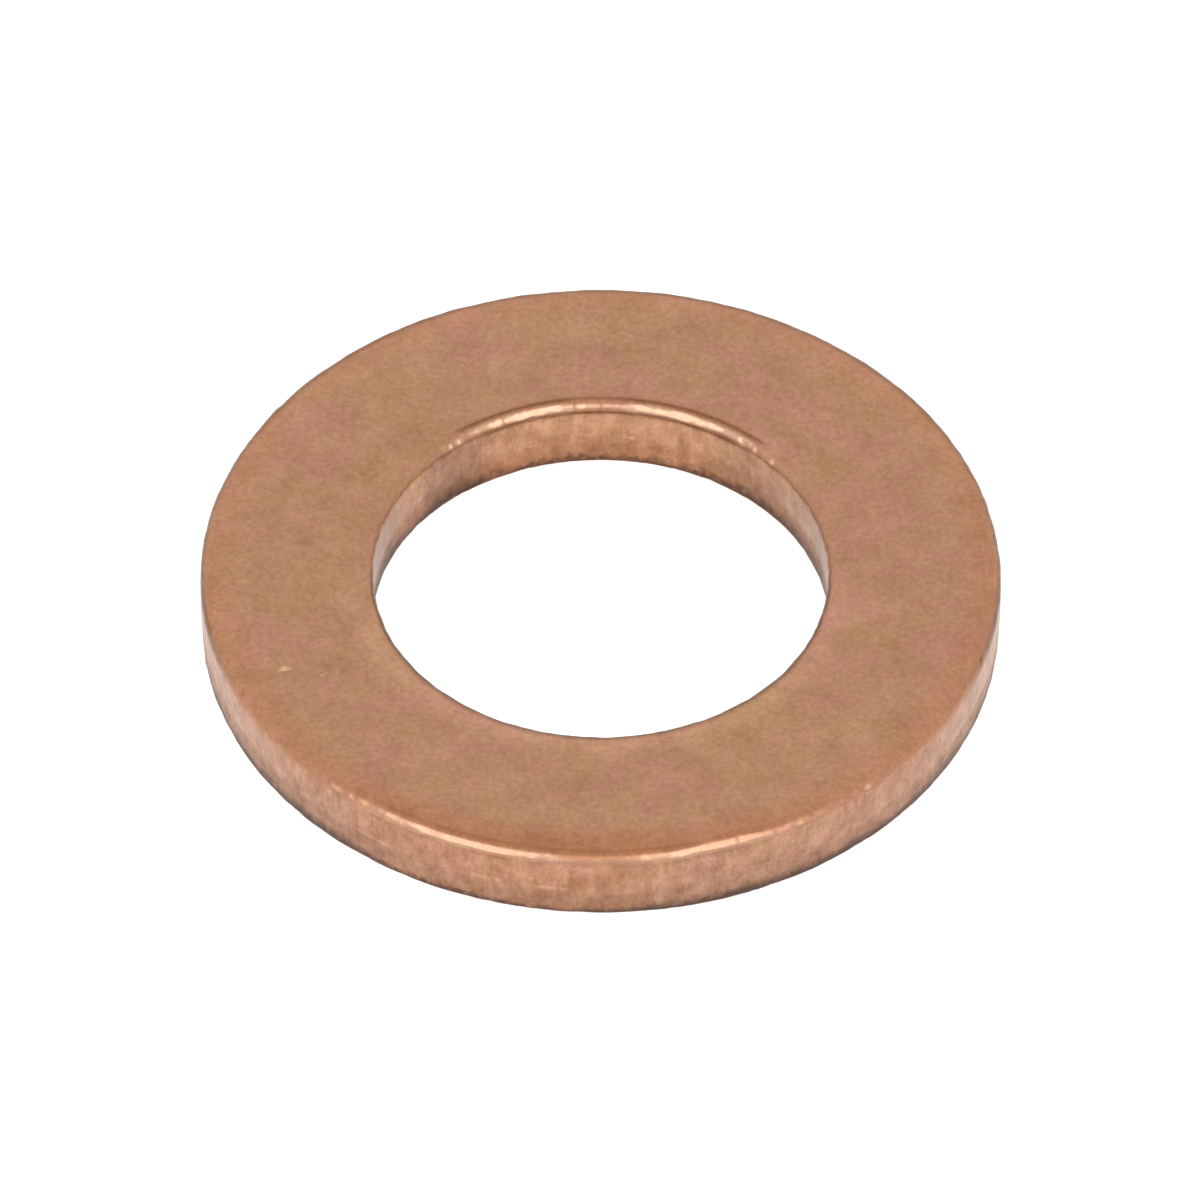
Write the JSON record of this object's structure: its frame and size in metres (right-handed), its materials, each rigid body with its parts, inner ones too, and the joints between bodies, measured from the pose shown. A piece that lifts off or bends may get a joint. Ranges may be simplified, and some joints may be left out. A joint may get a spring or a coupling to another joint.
{
  "type": "flat copper sealing washer",
  "caption": "Flat copper sealing washer: a blanked ring with rolled top edges, burnished walls and a slightly leaning torn zone below them.",
  "frame": {"origin": "middle of the underside, on the bore's axis", "axes": "+Z along the bore's axis, from the underside towards the face with the rolled edges; the ring is round, so +X and +Y are any two square directions across it"},
  "size_m": [0.015, 0.015, 0.0015],
  "materials": {
    "copper": "tumbled satin copper on both faces, brighter burnished band at the top of both walls, rougher torn band below it"
  },
  "bodies": {
    "root": {"sealing_washer": "copper"}
  },
  "joints": []
}
